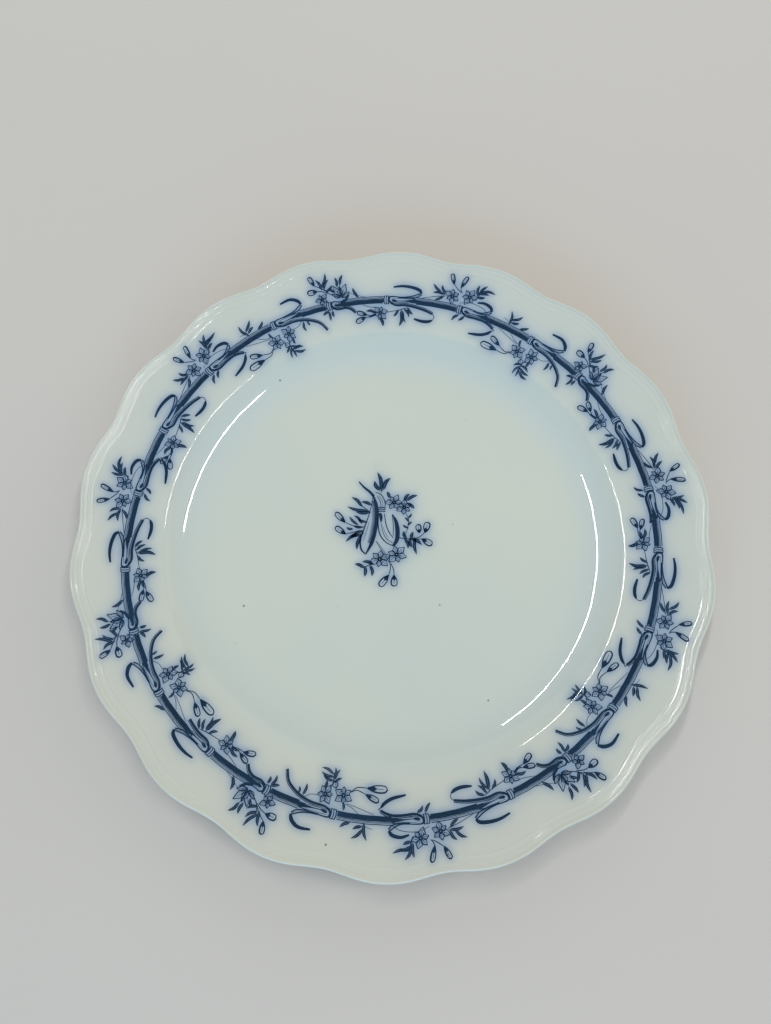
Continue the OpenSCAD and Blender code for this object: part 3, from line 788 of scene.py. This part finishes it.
class Nodes:
    """Short calls for building a material's node tree. A socket's key is its name, or i and its number."""

    def __init__(self, name):
        self.material = bpy.data.materials.new(name)
        self.material.use_nodes = True
        self.tree = self.material.node_tree
        self.shader = self.tree.nodes["Principled BSDF"]

    def add(self, kind, settings=None, **inputs):
        node = self.tree.nodes.new(kind)
        for key, value in (settings or {}).items():
            setattr(node, key, value)
        for key, value in inputs.items():
            self.put(node, key.replace("_", " "), value)
        return node

    def put(self, node, key, value):
        socket = node.inputs[int(key[1:]) if key[0] == "i" and key[1:].isdigit() else key]
        if isinstance(value, bpy.types.NodeSocket):
            self.tree.links.new(value, socket)
        else:
            socket.default_value = value

    def math(self, operation, a, b=0.0):
        return self.add("ShaderNodeMath", {"operation": operation}, i0=a, i1=b).outputs[0]

    def mix(self, amount, a, b):
        node = self.add("ShaderNodeMix", {"data_type": "RGBA"})
        self.put(node, "i0", amount)
        self.put(node, "i6", a)
        self.put(node, "i7", b)
        return node.outputs[2]

    def noise(self, where, scale, detail=2.0):
        node = self.add("ShaderNodeTexNoise", None, Vector=where, Scale=scale, Detail=detail)
        return node.outputs["Fac"]

    def span(self, value, low, high):
        """Maps low..high to 0..1, and no further."""
        node = self.add("ShaderNodeMapRange", {"clamp": True}, Value=value)
        self.put(node, "From Min", low)
        self.put(node, "From Max", high)
        return node.outputs["Result"]

    def ring(self, r, start, full, full_end, end):
        """1 between two radii in millimetres, fading to nothing at the two outside them."""
        rise = self.span(r, start * MM, full * MM)
        fall = self.span(r, end * MM, full_end * MM)
        return self.math("MULTIPLY", rise, fall)

    def attribute(self, name):
        return self.add("ShaderNodeAttribute", {"attribute_name": name}).outputs["Fac"]

    def place(self):
        """Position on the object, and the height and radius there, in metres."""
        where = self.add("ShaderNodeTexCoord").outputs["Object"]
        split = self.add("ShaderNodeSeparateXYZ", None, Vector=where)
        x, y, z = split.outputs
        r = self.math("SQRT", self.math("ADD", self.math("MULTIPLY", x, x), self.math("MULTIPLY", y, y)))
        return where, z, r


def glaze_finish(nodes, where):
    """What the clear glaze gives to clay and print alike: gloss, and a surface that isn't quite even.

    Returns its roughness.
    """
    shader = nodes.shader
    nodes.put(shader, "IOR", 1.5)
    swell = nodes.noise(where, 55.0, 2.0)
    peel = nodes.noise(where, 420.0, 2.0)
    height = nodes.math("ADD", swell, nodes.math("MULTIPLY", peel, 0.12))
    bump = nodes.add("ShaderNodeBump", None, Height=height, Strength=0.06, Distance=0.0006)
    nodes.put(shader, "Normal", bump.outputs["Normal"])
    worn = nodes.span(nodes.noise(where, 150.0, 3.0), 0.35, 0.75)
    return nodes.math("ADD", POLISH, nodes.math("MULTIPLY", worn, WEAR))


def glazed_clay():
    """The body: faintly green clay under the glaze, with painted bluish shade over the cavetto, and bluer
    where the ink bled.
    """
    nodes = Nodes("glazed_clay")
    where, z, r = nodes.place()
    cloud = nodes.span(nodes.noise(where, 9.0, 3.0), 0.3, 0.7)
    clay = nodes.mix(cloud, CLAY_WARM, CLAY_COOL)
    rim = nodes.span(r, (VERGE_R - 2) * MM, (VERGE_R + 8) * MM)
    clay = nodes.mix(nodes.math("MULTIPLY", rim, 0.6), clay, CLAY_RIM)
    # Painted shade: the cavetto's wall is made bluer and a little darker all round, standing in for skylight
    # and shade on the curve
    painted_cavetto_shade = nodes.ring(r, WELL_R - 3, VERGE_R - 8, VERGE_R - 6, VERGE_R + 2)
    clay = nodes.mix(nodes.math("MULTIPLY", painted_cavetto_shade, 0.3), clay, PAINTED_CAVETTO_SHADE)
    clay = nodes.mix(nodes.math("MULTIPLY", nodes.attribute("flow"), 0.82), clay, GLAZE_BLED)
    clay = nodes.mix(specks(nodes, where), clay, SPECK)
    bare = unglazed(nodes, z, r)
    clay = nodes.mix(bare, clay, CLAY_BARE)
    nodes.put(nodes.shader, "Base Color", clay)
    rough = nodes.math("MAXIMUM", glaze_finish(nodes, where), nodes.math("MULTIPLY", bare, FOOT_ROUGH))
    nodes.put(nodes.shader, "Roughness", rough)
    return nodes.material


def specks(nodes, where):
    """A few dark kiln specks and pinholes, in cells where a low noise is high."""
    cells = nodes.add("ShaderNodeTexVoronoi", None, Vector=where, Scale=85.0)
    near = nodes.span(cells.outputs["Distance"], 0.055, 0.025)
    chosen = nodes.span(nodes.noise(where, 60.0, 1.0), 0.52, 0.57)
    return nodes.math("MULTIPLY", nodes.math("MULTIPLY", near, chosen), 0.75)


def unglazed(nodes, z, r):
    """The wiped bearing face of the foot."""
    low = nodes.span(z, 0.45 * MM, 0.2 * MM)
    face = nodes.ring(r, WELL_R - 2.5, WELL_R - 1.8, WELL_R + 1.8, WELL_R + 2.5)
    return nodes.math("MULTIPLY", low, face)


def blue_ink():
    """The print: dark where the drawing is, paler and grainier where it was inked thinly."""
    nodes = Nodes("blue_ink")
    where = nodes.place()[0]
    grain = nodes.span(nodes.noise(where, 900.0, 2.0), 0.35, 0.7)
    held = nodes.math("SUBTRACT", 1.0, nodes.math("MULTIPLY", grain, 0.18))
    depth = nodes.math("MULTIPLY", nodes.attribute("tone"), held)
    blotch = nodes.span(nodes.noise(where, 40.0, 2.0), 0.3, 0.75)
    dark = nodes.mix(blotch, INK_DARK, INK_FULL)
    nodes.put(nodes.shader, "Base Color", nodes.mix(nodes.span(depth, 0.2, 0.8), INK_THIN, dark))
    nodes.put(nodes.shader, "Roughness", glaze_finish(nodes, where))
    return nodes.material


def table_top():
    nodes = Nodes("table_top")
    where = nodes.place()[0]
    cloud = nodes.noise(where, 3.0, 2.0)
    nodes.put(nodes.shader, "Base Color", nodes.mix(cloud, TABLE_GREY, TABLE_PALE))
    nodes.put(nodes.shader, "Roughness", TABLE_ROUGH)
    return nodes.material


# ---- stage, camera and lights, in metres ----

TUBE_HEIGHT = 2.8
TUBE_WIDTH = 0.05
CAMERA_AT = (-0.0061, -0.0735, 0.3208)
CAMERA_TILT = math.radians(15.37)
CAMERA_ROLL = math.radians(-0.5)
TABLE_SIDE = 30.0
# The table lies this far below the foot, so that the two faces never coincide
TABLE_DROP = 0.00005


def make_camera():
    """A phone held over the near side of the plate, looking down and a little away."""
    camera = bpy.data.cameras.new("camera")
    camera.sensor_fit = "VERTICAL"
    camera.sensor_height = 36.0
    camera.lens = 26.6
    holder = bpy.data.objects.new("camera", camera)
    holder.location = CAMERA_AT
    holder.rotation_euler = (CAMERA_TILT, CAMERA_ROLL, 0)
    bpy.context.collection.objects.link(holder)
    bpy.context.scene.camera = holder
    camera.clip_start = 0.01


def lamp(name, at, rotation, size, power, colour=(1, 1, 1)):
    """A rectangular lamp."""
    light = bpy.data.lights.new(name, "AREA")
    light.shape = "RECTANGLE"
    light.size, light.size_y = size
    light.energy = power
    light.color = colour
    holder = bpy.data.objects.new(name, light)
    holder.location = at
    holder.rotation_euler = rotation
    bpy.context.collection.objects.link(holder)


def soft_box(name, at, size, power, colour):
    """A large lamp turned towards the plate."""
    x, y, z = at
    yaw = math.atan2(-y, -x) - math.pi / 2
    pitch = math.atan2(math.hypot(x, y), z)
    lamp(name, at, (pitch, 0, yaw), size, power, colour)


def tube(name, start, end, power):
    """A long narrow lamp over the table, whose reflection draws a thin arc on each curved wall.

    The tubes hang outside the patch of ceiling that the flat well mirrors to the camera.
    """
    start, end = np.asarray((*start, TUBE_HEIGHT)), np.asarray((*end, TUBE_HEIGHT))
    along = end - start
    turn = math.atan2(along[1], along[0])
    lamp(name, (start + end) / 2, (0, 0, turn), (np.linalg.norm(along), TUBE_WIDTH), power)


def make_lights():
    tube("lamp_left_far", (-0.42, 1.60), (-0.79, 1.02), 11)
    tube("lamp_left_near", (-0.79, 1.02), (-0.90, 0.30), 11)
    tube("lamp_right", (0.93, -0.41), (1.47, 0.67), 20)
    soft_box("sky", (-0.3, -1.9, 0.8), (2.6, 1.2), 27, (0.36, 0.66, 1.0))
    soft_box("window", (0, 1.1, 0.7), (1.8, 0.9), 3.5, (0.66, 0.84, 1.0))
    soft_box("room", (1.9, 0.3, 1.0), (1.6, 1.2), 4, (1.0, 0.86, 0.68))
    world = bpy.data.worlds.new("soft_room")
    world.use_nodes = True
    glow = world.node_tree.nodes["Background"].inputs
    glow["Color"].default_value = (1.0, 0.955, 0.87, 1)
    glow["Strength"].default_value = 0.31
    bpy.context.scene.world = world


def make_floor():
    """The plain pale table."""
    half = TABLE_SIDE / 2
    corners = [(-half, -half, 0), (half, -half, 0), (half, half, 0), (-half, half, 0)]
    floor = make_mesh("table", np.array(corners) / MM, [(0, 1, 2, 3)])
    floor.location.z = -TABLE_DROP
    floor.data.materials.append(table_top())


def draw_prints():
    """Each print of the CAD model by name, with its drawing."""
    drawings = {}
    for strip, following in zip(STRIPS, STRIPS[1:] + STRIPS[:1]):
        full_turn = 360 if following.first_angle < strip.first_angle else 0
        drawings[strip.name] = draw_strip(strip, following.first_angle + full_turn)
    drawings["centre_print"] = draw_spray()
    return drawings


def main():
    make_camera()
    make_lights()
    make_floor()
    bpy.context.scene.view_settings.view_transform = "Standard"

    ink_look = blue_ink()
    drawings = draw_prints()

    plate = make_plate()
    plate.data.materials.append(glazed_clay())
    add_flow(plate, drawings.values())
    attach(plate, "root")
    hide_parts("plate_body")

    for node, ink in drawings.items():
        piece = ink_object(node + "_ink", ink)
        smooth_like_glaze(piece)
        piece.data.materials.append(ink_look)
        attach(piece, "root")
        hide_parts(node)


main()
